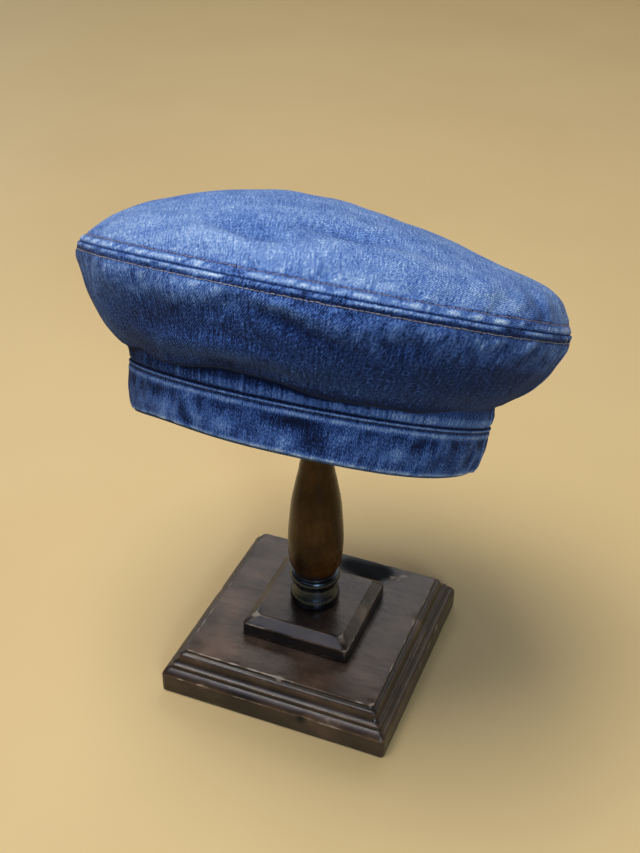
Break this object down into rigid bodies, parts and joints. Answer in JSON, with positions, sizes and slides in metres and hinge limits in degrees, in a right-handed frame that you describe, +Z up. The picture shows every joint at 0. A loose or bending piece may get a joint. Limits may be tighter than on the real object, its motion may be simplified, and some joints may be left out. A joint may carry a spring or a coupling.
{
  "type": "denim beret on wooden hat stand",
  "caption": "Soft round denim beret with a deep side panel and a sewn head band, resting tipped back on a turned wooden hat stand with a square moulded base.",
  "frame": {"origin": "centre of the stand's square underside", "axes": "+Z up the stand's post, X and Y along the base's sides, with the hat's low opening towards -Y"},
  "size_m": [0.2685, 0.238, 0.338],
  "materials": {
    "denim": "stone-washed twill, faded along the seams",
    "stained_wood": "dark stained and semi-gloss, worn brown on its edges"
  },
  "bodies": {
    "root": {"crown_top": "denim", "crown_side": "denim", "head_band": "denim", "stand_base": "stained_wood", "stand_plinth": "stained_wood", "stand_post": "stained_wood", "stand_head": "stained_wood"}
  },
  "joints": []
}
